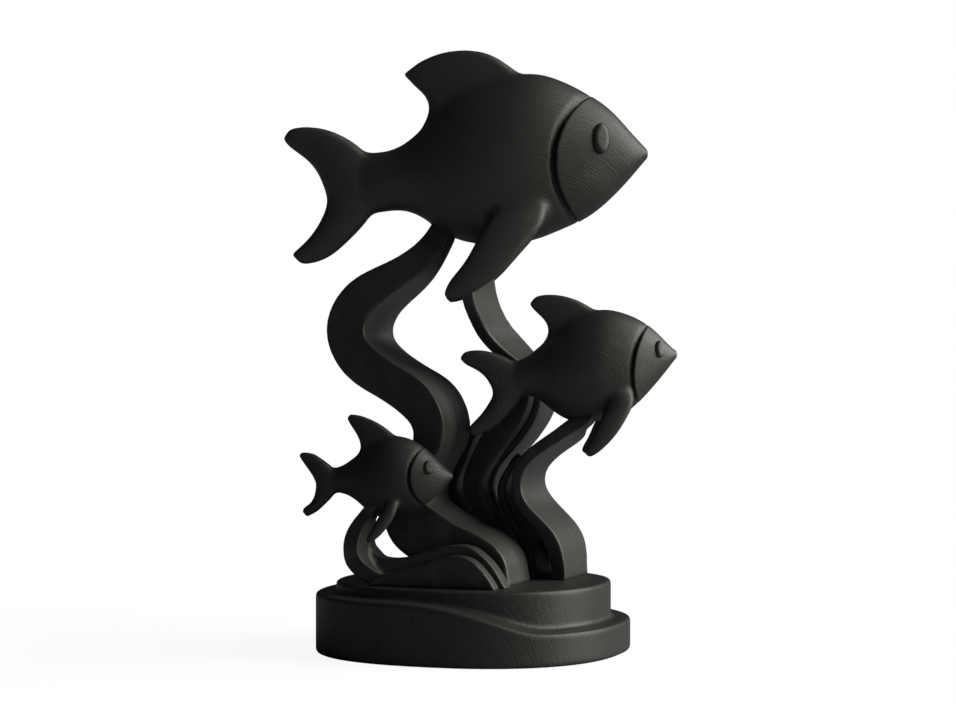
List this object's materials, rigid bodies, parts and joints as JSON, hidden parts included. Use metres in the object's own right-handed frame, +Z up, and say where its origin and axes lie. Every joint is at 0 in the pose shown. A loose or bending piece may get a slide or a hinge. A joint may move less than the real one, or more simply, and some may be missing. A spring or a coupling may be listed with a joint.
{
  "type": "fish figurine",
  "caption": "Carved, black-stained wooden sculpture of fish swimming among waving water plants on a rounded two-tier base; it stands as a decoration on a shelf or table.",
  "frame": {"origin": "middle of the base's underside, on the surface it stands on", "axes": "+Z up, +X to the right of the front view (the way the fish swim), -Y towards the viewer"},
  "size_m": [0.1905, 0.15, 0.2993],
  "materials": {
    "stained_wood": "satin",
    "dowel_wood": "matte"
  },
  "bodies": {
    "root": {"plinth": "stained_wood", "deck": "stained_wood", "tall_stem": "stained_wood", "rear_stem": "stained_wood", "right_stem": "stained_wood", "curl_stem": "stained_wood", "left_frond": "stained_wood", "middle_frond": "stained_wood", "inner_frond": "stained_wood", "front_wave": "stained_wood", "back_wave": "stained_wood", "large_body": "stained_wood", "large_head": "stained_wood", "large_eyes": "stained_wood", "large_dorsal_fin": "stained_wood", "large_tail_fin": "stained_wood", "large_right_fin": "stained_wood", "large_left_fin": "stained_wood", "large_dowels": "dowel_wood", "medium_body": "stained_wood", "medium_head": "stained_wood", "medium_eyes": "stained_wood", "medium_dorsal_fin": "stained_wood", "medium_tail_fin": "stained_wood", "medium_right_fin": "stained_wood", "medium_left_fin": "stained_wood", "medium_dowels": "dowel_wood", "small_body": "stained_wood", "small_head": "stained_wood", "small_eyes": "stained_wood", "small_dorsal_fin": "stained_wood", "small_tail_fin": "stained_wood", "small_right_fin": "stained_wood", "small_left_fin": "stained_wood", "small_dowels": "dowel_wood", "stem_dowels": "dowel_wood", "frond_pins": "dowel_wood"}
  },
  "joints": []
}
